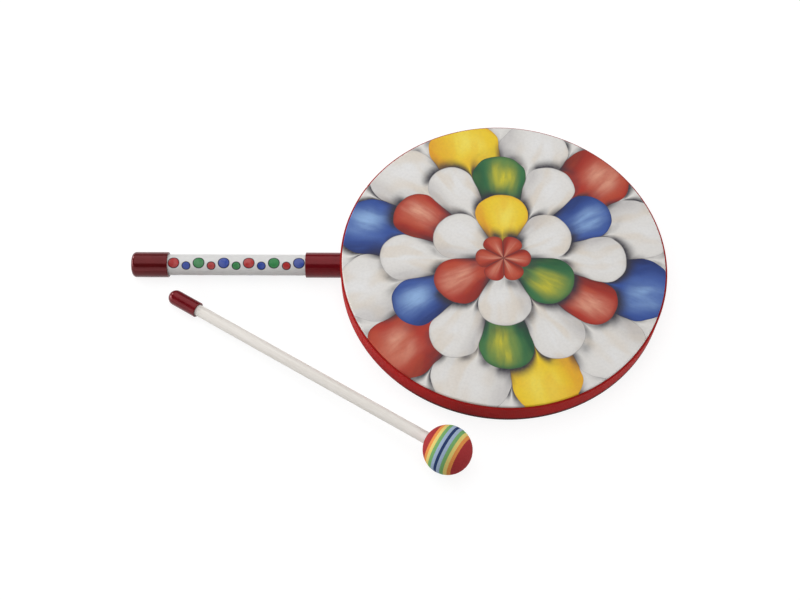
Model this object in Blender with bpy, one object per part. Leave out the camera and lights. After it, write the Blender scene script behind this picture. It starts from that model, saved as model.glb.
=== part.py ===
"""Lollipop drum: a shallow frame drum on a stick handle, with its mallet laid beside it.

Units are metres and +Z is up. Everything stands on the plane z = 0, with the drum's open back
down. The handle points to -X, the mallet lies on the -Y side, and the origin is on that plane
under the middle of the whole set.
"""

import math

import bmesh
import bpy
from mathutils import Vector

# Gaps between pieces
FIT_GAP = 0.0003  # round everything that is pushed on, glued on or screwed through
GLUE_LINE = 0.0001  # between the foam sheets of the ball

# Drum
DRUM_DIAMETER = 0.254
DRUM_DEPTH = 0.022
SHELL_WALL = 0.0064
SHELL_CHAMFER = 0.0005
BEARING_FLAT = 0.0022  # width of the edge that the film lies on
BEARING_BEVEL = 0.0030  # height of the slope from that edge to the inside of the shell
FILM_THICKNESS = 0.0004
FILM_SKIRT = 0.0050  # how far the film is turned down over the shell
FILM_ROLL = 0.0010  # outer radius where it turns
TAPE_THICKNESS = 0.0012
TAPE_ROUND = 0.0005
TAPE_ABOVE_BASE = 0.0010
TAPE_BELOW_HEAD = 0.0020

# Handle
HANDLE_LENGTH = 0.164  # from the rim to the tip of its end cap
HANDLE_HEIGHT = 0.010  # of its axis over the shell's lower edge
DOWEL_DIAMETER = 0.0155
SLEEVE_THICKNESS = 0.00035
HANDLE_VINYL_WALL = 0.0013
HANDLE_CAP_LENGTH = 0.0292
HANDLE_CAP_END = 0.0022
HANDLE_CAP_CORNER = 0.0048
HANDLE_CAP_CROWN = 0.0006
FERRULE_LENGTH = 0.0272
VINYL_LIP = 0.0004

# Screw that holds the handle, driven from inside the shell
SCREW_DIAMETER = 0.0042
SCREW_IN_DOWEL = 0.0320
SCREW_POINT = 0.0050
SCREW_HEAD_DIAMETER = 0.0084
SCREW_HEAD_EDGE = 0.0010
SCREW_HEAD_DOME = 0.0018
RECESS_ACROSS = 0.0046
RECESS_WIDTH = 0.0011
RECESS_DEPTH = 0.0016
WASHER_DIAMETER = 0.0130
WASHER_THICKNESS = 0.0012

# Mallet
MALLET_LENGTH = 0.270
SHAFT_DIAMETER = 0.0090
MALLET_VINYL_WALL = 0.0013
MALLET_CAP_LENGTH = 0.0273
BALL_DIAMETER = 0.036
SHAFT_PAST_CENTRE = 0.0070  # how far the shaft goes into the ball beyond its middle
FOAM_CORE = ("navy", 0.0022)
FOAM_SHEETS = (("sky", 0.0024), ("green", 0.0026), ("yellow", 0.0024), ("orange", 0.0023))
FOAM_ENDS = "red"

# Where the mallet lies
BALL_BEARING = math.radians(-106.15)  # direction of the ball from the drum's middle
BALL_TO_RIM = 0.0189
TIP_TO_HANDLE = 0.0116

# Facets
DRUM_STEPS = 72
HANDLE_STEPS = 28
SCREW_STEPS = 28
MALLET_STEPS = 24
BALL_STEPS = 32
ARC_STEP = math.radians(15)
SMALL_ARC_STEP = math.radians(30)
SHARP_ANGLE = math.radians(35)

# Radii and heights that follow from the sizes above
DRUM_RADIUS = DRUM_DIAMETER / 2
TAPE_INNER = DRUM_RADIUS - TAPE_THICKNESS
SHELL_OUTER = TAPE_INNER - FIT_GAP
SHELL_INNER = SHELL_OUTER - SHELL_WALL
SHELL_TOP = DRUM_DEPTH - FILM_THICKNESS - FIT_GAP
FILM_OUTER = TAPE_INNER - FIT_GAP
FILM_INNER = FILM_OUTER - FILM_THICKNESS
SKIRT_END = DRUM_DEPTH - FILM_SKIRT
REBATE_RADIUS = FILM_INNER - FIT_GAP
DOWEL_RADIUS = DOWEL_DIAMETER / 2
SLEEVE_INNER = DOWEL_RADIUS + FIT_GAP
SLEEVE_OUTER = SLEEVE_INNER + SLEEVE_THICKNESS
HANDLE_CAP_INNER = SLEEVE_OUTER + FIT_GAP
HANDLE_CAP_OUTER = HANDLE_CAP_INNER + HANDLE_VINYL_WALL
DOWEL_END = HANDLE_LENGTH - HANDLE_CAP_END - FIT_GAP
DOWEL_CHAMFER = HANDLE_CAP_CORNER - HANDLE_VINYL_WALL
SCREW_RADIUS = SCREW_DIAMETER / 2
SCREW_HOLE = SCREW_RADIUS + FIT_GAP
SCREW_HEAD_RADIUS = SCREW_HEAD_DIAMETER / 2
WASHER_RADIUS = WASHER_DIAMETER / 2
SHAFT_RADIUS = SHAFT_DIAMETER / 2
MALLET_CAP_INNER = SHAFT_RADIUS + FIT_GAP
MALLET_CAP_OUTER = MALLET_CAP_INNER + MALLET_VINYL_WALL
BALL_RADIUS = BALL_DIAMETER / 2
BALL_BORE = SHAFT_RADIUS + FIT_GAP
BORE_END = -SHAFT_PAST_CENTRE - FIT_GAP

# Along the handle, from the rim outwards: the washer is flat, so its edges meet the round wall
# first, and the screw's head bears on the washer
WALL_AT_WASHER = math.sqrt((SHELL_INNER * math.cos(math.pi / DRUM_STEPS)) ** 2 - WASHER_RADIUS**2)
WASHER_FACE = WALL_AT_WASHER - FIT_GAP - DRUM_RADIUS
WASHER_BACK = WASHER_FACE - WASHER_THICKNESS
HEAD_SEAT = WASHER_BACK - FIT_GAP
HEAD_SHOULDER = HEAD_SEAT - SCREW_HEAD_EDGE
HEAD_TOP = HEAD_SHOULDER - SCREW_HEAD_DOME

# The mallet's line, from the ball's middle to the grip: the ball and the cap's dome both rest
# on the plane z = 0, and the dome keeps its distance from the handle
MALLET_TIP = MALLET_LENGTH - BALL_RADIUS
DOME_CENTRE = MALLET_TIP - MALLET_CAP_OUTER
MALLET_FALL = math.asin((BALL_RADIUS - MALLET_CAP_OUTER) / DOME_CENTRE)
BALL_DISTANCE = DRUM_RADIUS + BALL_TO_RIM + BALL_RADIUS
BALL_X = BALL_DISTANCE * math.cos(BALL_BEARING)
BALL_Y = BALL_DISTANCE * math.sin(BALL_BEARING)
DOME_Y = -(HANDLE_CAP_OUTER + TIP_TO_HANDLE + MALLET_CAP_OUTER)
MALLET_TURN = math.asin((DOME_Y - BALL_Y) / (DOME_CENTRE * math.cos(MALLET_FALL)))
GRIP_DIRECTION = Vector(
    (
        -math.cos(MALLET_TURN) * math.cos(MALLET_FALL),
        math.sin(MALLET_TURN) * math.cos(MALLET_FALL),
        -math.sin(MALLET_FALL),
    )
)

# The drum's middle, which puts the origin under the middle of the whole set. The drum stands on
# its shell, or is lifted to where its end cap touches the plane, if that would reach lower
SET_LEFT = min(-DRUM_RADIUS - HANDLE_LENGTH, BALL_X + MALLET_TIP * GRIP_DIRECTION.x)
SET_FRONT = min(-DRUM_RADIUS, BALL_Y - BALL_RADIUS)
DRUM_LIFT = max(0.0, HANDLE_CAP_OUTER - HANDLE_HEIGHT)
DRUM_CENTRE = Vector((-(SET_LEFT + DRUM_RADIUS) / 2, -(SET_FRONT + DRUM_RADIUS) / 2, DRUM_LIFT))
BALL_CENTRE = Vector((DRUM_CENTRE.x + BALL_X, DRUM_CENTRE.y + BALL_Y, BALL_RADIUS))

# Finishes: linear colour, roughness and metallic value
FIBRE_BOARD = ((0.105, 0.062, 0.036), 0.75, 0.0)
HEAD_FILM = ((0.72, 0.71, 0.69), 0.35, 0.0)
RED_TAPE = ((0.33, 0.022, 0.018), 0.65, 0.0)
BIRCH = ((0.60, 0.44, 0.26), 0.60, 0.0)
PRINTED_FILM = ((0.70, 0.70, 0.70), 0.25, 0.0)
RED_VINYL = ((0.165, 0.010, 0.014), 0.20, 0.0)
STEEL = ((0.58, 0.58, 0.60), 0.30, 1.0)
WHITE_PAINT = ((0.72, 0.68, 0.63), 0.45, 0.0)
FOAM = {
    "red": ((0.42, 0.050, 0.055), 0.85, 0.0),
    "orange": ((0.68, 0.24, 0.055), 0.85, 0.0),
    "yellow": ((0.78, 0.60, 0.16), 0.85, 0.0),
    "green": ((0.16, 0.40, 0.13), 0.85, 0.0),
    "sky": ((0.33, 0.42, 0.54), 0.85, 0.0),
    "navy": ((0.018, 0.040, 0.140), 0.85, 0.0),
}


def clear_scene():
    for obj in list(bpy.data.objects):
        bpy.data.objects.remove(obj)


def axis_at(name, place, direction):
    """An empty with its own Z along a direction, for the pieces that share an axis."""
    empty = bpy.data.objects.new(name, None)
    bpy.context.collection.objects.link(empty)
    empty.location = place
    empty.rotation_mode = "QUATERNION"
    empty.rotation_quaternion = direction.to_track_quat("Z", "Y")
    return empty


def material_for(name, finish):
    colour, roughness, metallic = finish
    made = bpy.data.materials.new(name)
    made.use_nodes = True
    shader = made.node_tree.nodes["Principled BSDF"]
    shader.inputs["Base Color"].default_value = (*colour, 1.0)
    shader.inputs["Roughness"].default_value = roughness
    shader.inputs["Metallic"].default_value = metallic
    return made


def placed(name, shape, finish, axis):
    """An object made from a bmesh, on an axis."""
    bmesh.ops.recalc_face_normals(shape, faces=shape.faces)
    mesh = bpy.data.meshes.new(name)
    shape.to_mesh(mesh)
    shape.free()
    mesh.shade_smooth()
    mesh.set_sharp_from_angle(angle=SHARP_ANGLE)
    mesh.materials.append(material_for(name, finish))
    obj = bpy.data.objects.new(name, mesh)
    bpy.context.collection.objects.link(obj)
    obj.parent = axis
    return obj


def turned(name, profile, steps, finish, axis):
    """A solid turned round an axis from a profile of (r, z) points. A profile with both ends on
    the axis is open there, and any other one is closed."""
    shape = bmesh.new()
    points = [shape.verts.new((r, 0.0, z)) for r, z in profile]
    edges = [shape.edges.new(pair) for pair in zip(points, points[1:])]
    ends_on_axis = profile[0][0] == 0.0 and profile[-1][0] == 0.0
    if not ends_on_axis:
        edges.append(shape.edges.new((points[-1], points[0])))
    bmesh.ops.spin(
        shape,
        geom=points + edges,
        cent=(0, 0, 0),
        axis=(0, 0, 1),
        angle=2 * math.pi,
        steps=steps,
        use_merge=True,
    )
    bmesh.ops.remove_doubles(shape, verts=shape.verts, dist=1e-7)
    return placed(name, shape, finish, axis)


def arc(centre, radius, start, end, step=ARC_STEP):
    """Points of a profile on a circle round (r, z), from one angle to another."""
    count = max(1, math.ceil(abs(end - start) / step - 1e-6))
    angles = [start + (end - start) * i / count for i in range(count + 1)]
    return [(centre[0] + radius * math.cos(a), centre[1] + radius * math.sin(a)) for a in angles]


def cut(obj, cutter):
    """Takes a helper's shape out of a piece."""
    cutter.hide_render = True
    cutter.display_type = "WIRE"
    hole = obj.modifiers.new(cutter.name, "BOOLEAN")
    hole.operation = "DIFFERENCE"
    hole.object = cutter


def cup(outer, wall, end_wall, corner, crown, mouth, tip):
    """The profile of a push-on cap: open at its mouth, closed at its tip, with a round corner
    and a slight crown."""
    inside = outer - wall
    inner_corner = corner - wall
    floor = tip - end_wall
    outer_corner = arc((outer - corner, tip - crown - corner), corner, math.pi / 2, 0.0)
    floor_corner = arc((inside - inner_corner, floor - inner_corner), inner_corner, 0.0, math.pi / 2)
    lip = [(outer, mouth + VINYL_LIP), (outer - VINYL_LIP, mouth), (inside, mouth)]
    return [(0.0, tip), *outer_corner, *lip, *floor_corner, (0.0, floor)]


def make_shell(axis):
    """Bent fibre hoop, with a bevelled bearing edge and a rebate for the film's skirt."""
    rebate_floor = SKIRT_END - FIT_GAP
    edge_round = FILM_ROLL - FILM_THICKNESS
    edge_middle = (REBATE_RADIUS - edge_round, SHELL_TOP - edge_round)
    profile = [
        (SHELL_INNER, SHELL_TOP - BEARING_BEVEL),
        (SHELL_INNER, SHELL_CHAMFER),
        (SHELL_INNER + SHELL_CHAMFER, 0.0),
        (SHELL_OUTER - SHELL_CHAMFER, 0.0),
        (SHELL_OUTER, SHELL_CHAMFER),
        (SHELL_OUTER, rebate_floor),
        (REBATE_RADIUS, rebate_floor),
        *arc(edge_middle, edge_round, 0.0, math.pi / 2, SMALL_ARC_STEP),
        (REBATE_RADIUS - edge_round - BEARING_FLAT, SHELL_TOP),
    ]
    return turned("shell", profile, DRUM_STEPS, FIBRE_BOARD, axis)


def make_drumhead(axis):
    """Polyester film, flat across the drum and turned down over the edge of the shell."""
    middle = (FILM_OUTER - FILM_ROLL, DRUM_DEPTH - FILM_ROLL)
    underside = DRUM_DEPTH - FILM_THICKNESS
    profile = [
        (0.0, DRUM_DEPTH),
        *arc(middle, FILM_ROLL, math.pi / 2, 0.0, SMALL_ARC_STEP),
        (FILM_OUTER, SKIRT_END),
        (FILM_INNER, SKIRT_END),
        *arc(middle, FILM_ROLL - FILM_THICKNESS, 0.0, math.pi / 2, SMALL_ARC_STEP),
        (0.0, underside),
    ]
    return turned("drumhead", profile, DRUM_STEPS, HEAD_FILM, axis)


def make_rim_tape(axis):
    """Woven tape glued round the outside, over the film's skirt."""
    top = DRUM_DEPTH - TAPE_BELOW_HEAD
    round_middle = DRUM_RADIUS - TAPE_ROUND
    low_round = (round_middle, TAPE_ABOVE_BASE + TAPE_ROUND)
    high_round = (round_middle, top - TAPE_ROUND)
    profile = [
        (TAPE_INNER, top),
        (TAPE_INNER, TAPE_ABOVE_BASE),
        *arc(low_round, TAPE_ROUND, -math.pi / 2, 0.0, SMALL_ARC_STEP),
        *arc(high_round, TAPE_ROUND, 0.0, math.pi / 2, SMALL_ARC_STEP),
    ]
    return turned("rim_tape", profile, DRUM_STEPS, RED_TAPE, axis)


def make_handle_core(axis):
    """Birch dowel, with a pilot hole for the screw, in a sleeve of printed film that runs under
    the ferrule and the end cap."""
    dowel = [
        (0.0, DOWEL_END),
        (DOWEL_RADIUS - DOWEL_CHAMFER, DOWEL_END),
        (DOWEL_RADIUS, DOWEL_END - DOWEL_CHAMFER),
        (DOWEL_RADIUS, FIT_GAP),
        (SCREW_HOLE, FIT_GAP),
        (SCREW_HOLE, SCREW_IN_DOWEL - SCREW_POINT + FIT_GAP),
        (0.0, SCREW_IN_DOWEL + FIT_GAP),
    ]
    sleeve = [
        (SLEEVE_OUTER, DOWEL_END - DOWEL_CHAMFER),
        (SLEEVE_OUTER, FIT_GAP),
        (SLEEVE_INNER, FIT_GAP),
        (SLEEVE_INNER, DOWEL_END - DOWEL_CHAMFER),
    ]
    turned("handle_dowel", dowel, HANDLE_STEPS, BIRCH, axis)
    turned("handle_sleeve", sleeve, HANDLE_STEPS, PRINTED_FILM, axis)


def make_handle_vinyl(axis):
    """The vinyl end cap, and the ferrule that covers the handle's joint with the rim."""
    cap = cup(
        outer=HANDLE_CAP_OUTER,
        wall=HANDLE_VINYL_WALL,
        end_wall=HANDLE_CAP_END,
        corner=HANDLE_CAP_CORNER,
        crown=HANDLE_CAP_CROWN,
        mouth=HANDLE_LENGTH - HANDLE_CAP_LENGTH,
        tip=HANDLE_LENGTH,
    )
    ferrule = [
        (HANDLE_CAP_INNER, FERRULE_LENGTH),
        (HANDLE_CAP_OUTER - VINYL_LIP, FERRULE_LENGTH),
        (HANDLE_CAP_OUTER, FERRULE_LENGTH - VINYL_LIP),
        (HANDLE_CAP_OUTER, FIT_GAP),
        (HANDLE_CAP_INNER, FIT_GAP),
    ]
    turned("handle_end_cap", cap, HANDLE_STEPS, RED_VINYL, axis)
    turned("handle_ferrule", ferrule, HANDLE_STEPS, RED_VINYL, axis)


def recess_cutter(axis):
    """A cross-shaped driver bit, standing in the screw's head."""
    arm = RECESS_ACROSS / 2
    side = RECESS_WIDTH / 2
    quarter = [(arm, -side), (arm, side), (side, side)]
    turns = [(1, 0), (0, 1), (-1, 0), (0, -1)]
    outline = [(c * x - s * y, s * x + c * y) for c, s in turns for x, y in quarter]
    bit = bmesh.new()
    face = bit.faces.new([bit.verts.new((x, y, HEAD_TOP + RECESS_DEPTH)) for x, y in outline])
    grown = bmesh.ops.extrude_face_region(bit, geom=[face])
    top = [item for item in grown["geom"] if isinstance(item, bmesh.types.BMVert)]
    bmesh.ops.translate(bit, verts=top, vec=(0, 0, -2 * RECESS_DEPTH))
    return placed("screw_recess_cutter", bit, STEEL, axis)


def make_screw(axis, pierced):
    """Pan-head screw from inside the shell into the dowel, the washer under its head, and the
    hole that it needs through the pieces it goes through."""
    dome_radius = (SCREW_HEAD_RADIUS**2 + SCREW_HEAD_DOME**2) / (2 * SCREW_HEAD_DOME)
    dome_half = math.asin(SCREW_HEAD_RADIUS / dome_radius)
    dome = arc((0.0, HEAD_TOP + dome_radius), dome_radius, dome_half - math.pi / 2, -math.pi / 2)
    screw = [
        (0.0, SCREW_IN_DOWEL),
        (SCREW_RADIUS, SCREW_IN_DOWEL - SCREW_POINT),
        (SCREW_RADIUS, HEAD_SEAT),
        (SCREW_HEAD_RADIUS, HEAD_SEAT),
        *dome[:-1],
        (0.0, HEAD_TOP),
    ]
    washer = [
        (WASHER_RADIUS, WASHER_FACE),
        (WASHER_RADIUS, WASHER_BACK),
        (SCREW_HOLE, WASHER_BACK),
        (SCREW_HOLE, WASHER_FACE),
    ]
    hole = [(0.0, SHELL_WALL), (SCREW_HOLE, SHELL_WALL), (SCREW_HOLE, HEAD_TOP), (0.0, HEAD_TOP)]
    cut(turned("handle_screw", screw, SCREW_STEPS, STEEL, axis), recess_cutter(axis))
    turned("screw_washer", washer, SCREW_STEPS, STEEL, axis)
    drill = turned("screw_hole_cutter", hole, SCREW_STEPS, STEEL, axis)
    for piece in pierced:
        cut(piece, drill)


def make_mallet_stick(axis):
    """Painted dowel, glued into the ball and round at its other end, with its vinyl cap."""
    shaft = [
        (0.0, -SHAFT_PAST_CENTRE),
        (SHAFT_RADIUS, -SHAFT_PAST_CENTRE),
        *arc((0.0, DOME_CENTRE), SHAFT_RADIUS, 0.0, math.pi / 2)[:-1],
        (0.0, DOME_CENTRE + SHAFT_RADIUS),
    ]
    cap = cup(
        outer=MALLET_CAP_OUTER,
        wall=MALLET_VINYL_WALL,
        end_wall=MALLET_VINYL_WALL,
        corner=MALLET_CAP_OUTER,
        crown=0.0,
        mouth=MALLET_TIP - MALLET_CAP_LENGTH,
        tip=MALLET_TIP,
    )
    turned("mallet_shaft", shaft, MALLET_STEPS, WHITE_PAINT, axis)
    turned("mallet_end_cap", cap, MALLET_STEPS, RED_VINYL, axis)


def foam_layers():
    """Name, colour and the two faces of each foam sheet, from the far end of the ball to the
    shaft's side."""
    core_colour, core_thickness = FOAM_CORE
    layers = [(f"ball_{core_colour}_core", core_colour, -core_thickness / 2, core_thickness / 2)]
    face = core_thickness / 2
    for colour, thickness in FOAM_SHEETS:
        layers.insert(0, (f"ball_{colour}_far", colour, -face - thickness, -face))
        layers.append((f"ball_{colour}_near", colour, face, face + thickness))
        face += thickness
    mouth = math.sqrt(BALL_RADIUS**2 - BALL_BORE**2)
    layers.insert(0, (f"ball_{FOAM_ENDS}_far", FOAM_ENDS, -BALL_RADIUS, -face))
    layers.append((f"ball_{FOAM_ENDS}_near", FOAM_ENDS, face, mouth))
    return layers


def foam_profile(low, high):
    """One sheet of the ball between two faces, with the shaft's hole as far as it goes."""
    skin = arc((0.0, 0.0), BALL_RADIUS, math.asin(high / BALL_RADIUS), math.asin(low / BALL_RADIUS))
    if low == -BALL_RADIUS:
        skin.pop()
    if low >= BORE_END:
        return [(BALL_BORE, high), *skin, (BALL_BORE, low)]
    if high > BORE_END:
        return [(0.0, BORE_END), (BALL_BORE, BORE_END), (BALL_BORE, high), *skin, (0.0, low)]
    return [(0.0, high), *skin, (0.0, low)]


def make_ball(axis):
    """Foam sheets of many colours, glued in a stack across the shaft and ground to a ball."""
    layers = foam_layers()
    for name, colour, low, high in layers:
        if name != layers[0][0]:
            low += GLUE_LINE / 2
        if name != layers[-1][0]:
            high -= GLUE_LINE / 2
        turned(name, foam_profile(low, high), BALL_STEPS, FOAM[colour], axis)


def main():
    clear_scene()
    rim_at_handle = DRUM_CENTRE + Vector((-DRUM_RADIUS, 0.0, HANDLE_HEIGHT))
    drum_axis = axis_at("drum_axis", DRUM_CENTRE, Vector((0, 0, 1)))
    handle_axis = axis_at("handle_axis", rim_at_handle, Vector((-1, 0, 0)))
    mallet_axis = axis_at("mallet_axis", BALL_CENTRE, GRIP_DIRECTION)

    shell = make_shell(drum_axis)
    make_drumhead(drum_axis)
    rim_tape = make_rim_tape(drum_axis)
    make_handle_core(handle_axis)
    make_handle_vinyl(handle_axis)
    make_screw(handle_axis, pierced=(shell, rim_tape))
    make_mallet_stick(mallet_axis)
    make_ball(mallet_axis)


main()
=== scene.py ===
"""Looks of a lollipop drum and its mallet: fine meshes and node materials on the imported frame.

Units are metres and +Z is up. Each piece is turned round one of three axes that are read from the
frame: the drum's, the handle's (from the rim outwards) and the mallet's (from the ball's middle to
the grip). A piece's own coordinates start where its axis starts and keep the frame's directions. Its
material reads those, turned to the axis where it needs that.
"""

import math
from collections import namedtuple

import bmesh
import bpy
from mathutils import Matrix, Quaternion, Vector, noise


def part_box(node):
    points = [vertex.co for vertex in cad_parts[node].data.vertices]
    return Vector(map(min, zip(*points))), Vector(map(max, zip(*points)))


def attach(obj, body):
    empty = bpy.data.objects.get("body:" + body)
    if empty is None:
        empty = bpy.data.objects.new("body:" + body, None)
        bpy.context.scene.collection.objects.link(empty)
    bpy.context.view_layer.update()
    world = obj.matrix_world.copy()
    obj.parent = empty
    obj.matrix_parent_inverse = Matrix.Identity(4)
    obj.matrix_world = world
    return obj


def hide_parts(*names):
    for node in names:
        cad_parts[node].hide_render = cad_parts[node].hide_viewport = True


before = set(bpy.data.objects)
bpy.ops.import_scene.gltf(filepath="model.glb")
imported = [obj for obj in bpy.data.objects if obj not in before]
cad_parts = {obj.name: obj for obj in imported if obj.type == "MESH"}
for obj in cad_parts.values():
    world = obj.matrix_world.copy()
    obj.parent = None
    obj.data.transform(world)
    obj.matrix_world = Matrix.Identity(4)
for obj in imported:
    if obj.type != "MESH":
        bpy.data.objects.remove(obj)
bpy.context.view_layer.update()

# How far a node reaches along an axis, and its least and greatest distance from it
Extent = namedtuple("Extent", "low high inner outer")
# A value that runs smoothly from low to high, as another one goes from start to end
Fade = namedtuple("Fade", "start end low high", defaults=(0.0, 1.0))
# Petals: how many, by how many the first is turned, the radius at their tips, how far their sides
# stay behind that, and their colours by turns
Ring = namedtuple("Ring", "count shift tip drop order")
# Wood: its two tones, the size of its rings, its roughness and the depth of its grain
Wood = namedtuple("Wood", "tones ring_size roughness depth")
Lamp = namedtuple("Lamp", "name place width height spin watts")


def srgb(red, green, blue):
    """A linear colour from display values of 0 to 255, by the curve of the sRGB standard."""
    shares = (value / 255 for value in (red, green, blue))
    return (*(s / 12.92 if s <= 0.04045 else ((s + 0.055) / 1.055) ** 2.4 for s in shares), 1.0)


# Camera, as the photograph was taken
SENSOR_WIDTH_MM = 36.0
LENS_MM = 53.1
CAMERA_DISTANCE = 0.92387
CAMERA_AZIMUTH = math.radians(0.273)
CAMERA_ELEVATION = math.radians(61.31)
CAMERA_ROLL = math.radians(-0.043)
CAMERA_AIM = Vector((0.00176, -0.00127, 0.0))

# Gap between pieces that go into each other, as in the frame
FIT_GAP = 0.0003

# Drum
FILM_THICKNESS = 0.0004
FILM_ROLL = 0.0010
TAPE_TO_FILM = 0.00003
TAPE_LOW_EDGE = 0.0005
TAPE_HIGH_EDGE = 0.00015
TAPE_SEAM_ANGLE = math.radians(148)
TAPE_SEAM_WIDTH = 0.0012
TAPE_SEAM_DEPTH = 0.00025
SHELL_EDGE = 0.0006
BEARING_FLAT = 0.0022
BEARING_BEVEL = 0.0030
SHELL_SEAM_ANGLE = math.radians(40)
SHELL_SEAM_WIDTH = 0.0016
SHELL_SEAM_DEPTH = 0.0003

# Handle
SLEEVE_SEAM_ANGLE = math.radians(165)
SLEEVE_SEAM_LAP = 0.0045
SLEEVE_SEAM_STEP = 0.00018
HANDLE_VINYL_WALL = 0.0013
CAP_END_WALL = 0.0022
CAP_CORNER = 0.0033
CAP_CROWN_SLOPE = math.radians(13)
VINYL_LIP = 0.0005
VINYL_INNER_LIP = 0.00025
VINYL_RIPPLE = 0.00004
VINYL_RIPPLE_SIZE = 0.009
FERRULE_SADDLE = 0.006
FERRULE_TO_RIM = 0.00005
SCREW_THREAD_PITCH = 0.0018
SCREW_THREAD_DEPTH = 0.00055
SCREW_CORE_SHARE = 0.2
SCREW_TIP_RADIUS = 0.0001
SCREW_POINT = 0.0050
SCREW_PLAIN_SHANK = 0.0045
SCREW_HEAD_EDGE = 0.0010
SCREW_HEAD_DOME = 0.0018
RECESS_ACROSS = 0.0046
RECESS_WIDTH = 0.0011
RECESS_DEPTH = 0.0016
RECESS_TAPER = 0.55
WASHER_EDGE = 0.00025

# Mallet
SHAFT_EDGE = 0.0004
MALLET_VINYL_WALL = 0.0013
MALLET_LIP = 0.0004
GLUE_HALF = 0.00005
GROOVE_DEPTH = 0.00004
GROOVE_WIDTH = 0.00025
FOAM_RIPPLE = 0.00003
FOAM_RIPPLE_SIZE = 0.0012

# Facets: steps round an axis, and the longest stretch of a profile that has no point on it
DRUM_STEPS = 256
HANDLE_STEPS = 96
BALL_STEPS = 144
SCREW_STEPS = 48
FLOOR_STEPS = 96
SEAM_STEPS = 4
THREAD_STEPS = 8
FILM_STRETCH = 0.012
RIM_STRETCH = 0.003
SLEEVE_STRETCH = 0.006
VINYL_STRETCH = 0.0015
SHAFT_STRETCH = 0.004
FOAM_STRETCH = 0.0005
ARC_STEP = math.radians(9)
GUARD_SHARE = 0.2
SHARP_ANGLE = math.radians(32)

# Decimals to which points, or angles, have to be equal to count as one
POINT_DIGITS = 6
ANGLE_DIGITS = 9

# Print on the head: a rosette of overlapping petals. Each colour has its body, its light middle,
# its dark edge and the tint of its patches. A fade goes by noise, by metres from an edge, or by the
# place across a petal, from -1 to 1
PRINT = {
    "white": (srgb(226, 223, 219), srgb(232, 231, 230), srgb(184, 180, 180), srgb(214, 188, 150)),
    "red": (srgb(176, 54, 40), srgb(228, 164, 138), srgb(98, 32, 32), srgb(202, 96, 60)),
    "yellow": (srgb(238, 202, 46), srgb(244, 222, 92), srgb(222, 138, 42), srgb(232, 166, 62)),
    "blue": (srgb(54, 82, 154), srgb(146, 180, 224), srgb(30, 38, 84), srgb(84, 114, 188)),
    "green": (srgb(54, 114, 72), srgb(218, 204, 54), srgb(26, 64, 46), srgb(116, 156, 80)),
}
PRINT_GROUND = PRINT["white"][0]
HEAD_RINGS = (
    Ring(12, 0.0, 0.1330, 0.0280, ("white", "red", "white", "yellow", "white", "blue")),
    Ring(12, 0.5, 0.0960, 0.0200, ("white", "blue", "white", "green", "white", "red")),
    Ring(6, 0.0, 0.0590, 0.0230, ("white", "yellow", "white", "red", "white", "green")),
    Ring(6, 0.5, 0.0215, 0.0070, ("red",)),
)
WOBBLE_SIZE = 0.03
WOBBLE_REACH = 0.002
SWAY_SIZE = 0.04
SWAY_TURNS = 0.01
SWAY_MIRROR = (1.0, -1.0, 1.0)
STROKES_ACROSS = 4.2
STROKES_ALONG = 42.0
STROKES_APART = 5.3
BRUSH_ON_LIGHT = Fade(0.30, 0.65, 0.50, 1.0)
BRUSH_ON_DARK = Fade(0.25, 0.75, 0.55, 1.0)
PATCH_STRETCH = (0.4, 0.7, 1.7)
PATCH_ON_LIGHT = Fade(0.32, 0.55, 0.45, 1.0)
PATCH_TINT = Fade(0.52, 0.36, 0.0, 0.28)
LIGHT_ASIDE = 0.15
LIGHT_ACROSS = Fade(0.75, 0.05)
LIGHT_FROM_TIP = 0.019
LIGHT_ALONG = Fade(0.023, 0.0)
DARK_FAR_SIDE = Fade(0.25, 1.0)
DARK_EDGE = Fade(0.004, 0.0, 0.0, 0.5)
DARK_SHARE = 0.85
PETAL_EDGE = Fade(-0.00015, 0.00015)
PETAL_LINE = Fade(0.0007, 0.0, 0.0, 0.5)
PRINT_LINE = srgb(66, 56, 60)
PRINT_SHADE = srgb(52, 50, 60)
SHADE_REACH = Fade(-0.013, 0.0)
SHADE_FALL = 1.5
NOTCH_REACH = Fade(-0.0182, 0.0)
NOTCH_WIDTH = Fade(0.006, 0.0)
NOTCH_SHARE = 0.8
SMUDGE_SIZE = 0.030
SMUDGE_PATCHES = Fade(0.40, 0.60, 0.10, 1.0)
CHALK_SIZE = 0.0022
CHALK_IN_SHADE = Fade(0.25, 0.65, 0.93, 1.0)
CHALK_ON_PAINT = Fade(0.35, 0.70, 0.0, 0.05)

# Film of the head
UNPRINTED_FILM = srgb(222, 220, 214)
UNPRINTED_SHARE = 0.86
FILM_FACE_SOFT = 0.00004
COAT_SIZE = 0.0007
COAT_DEPTH = 0.00001
COAT_ROUGHNESS = Fade(0.2, 0.8, 0.40, 0.52)

# Tape round the rim. Here and below, two tones are given dark first
TAPE_RED = (srgb(158, 10, 10), srgb(184, 19, 14))
TAPE_GLOSS_TINT = (1.0, 0.2, 0.2, 1.0)
TAPE_RIB = 0.0013
WARP_SHARE = 0.8
WEAVE_DEPTH = 0.00008
WEAVE_ROUGHNESS = Fade(0.3, 1.0, 0.70, 0.55)
FUZZ_SIZE = 0.0004
FUZZ_DEPTH = 0.00003
# Random fade of the tape's red, blended with painted shade in the gaps of the weave
TAPE_FADE_SIZE = 0.015
TAPE_FADE = Fade(0.3, 0.7)
TAPE_FADE_SHARE = 0.6
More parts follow.
